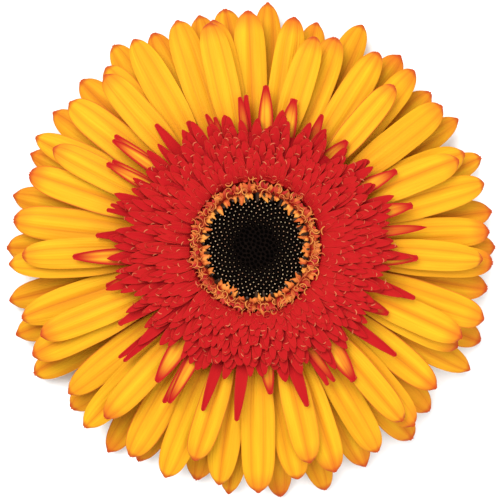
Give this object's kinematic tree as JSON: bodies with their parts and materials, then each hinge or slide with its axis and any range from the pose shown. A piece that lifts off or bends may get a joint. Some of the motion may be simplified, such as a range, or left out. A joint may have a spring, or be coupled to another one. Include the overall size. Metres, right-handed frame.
{
  "type": "gerbera flower head",
  "caption": "Open gerbera daisy flower head with whorls of yellow ray petals, a dense red ring of short florets, a golden ring and a dark disc, on a green bract cup.",
  "frame": {"origin": "centre of the flat cut end that the flower head rests on, under the middle of the disc", "axes": "+Z is the way the flower faces, straight up from the surface; +X and +Y lie across the bloom, whose red ring is a little wider along X"},
  "size_m": [0.1086, 0.1108, 0.0223],
  "materials": {
    "bract_green": "matte",
    "ray_yellow": "satin",
    "floret_red": "satin",
    "pollen_gold": "matte",
    "bud_black": "satin"
  },
  "bodies": {
    "root": {"stalk_and_involucre": "bract_green", "ray_florets_back": "ray_yellow", "ray_florets_front": "ray_yellow", "ray_florets_inner": "ray_yellow", "transition_florets": "floret_red", "red_florets": "floret_red", "open_disc_florets": "pollen_gold", "disc_buds": "bud_black"}
  },
  "joints": []
}
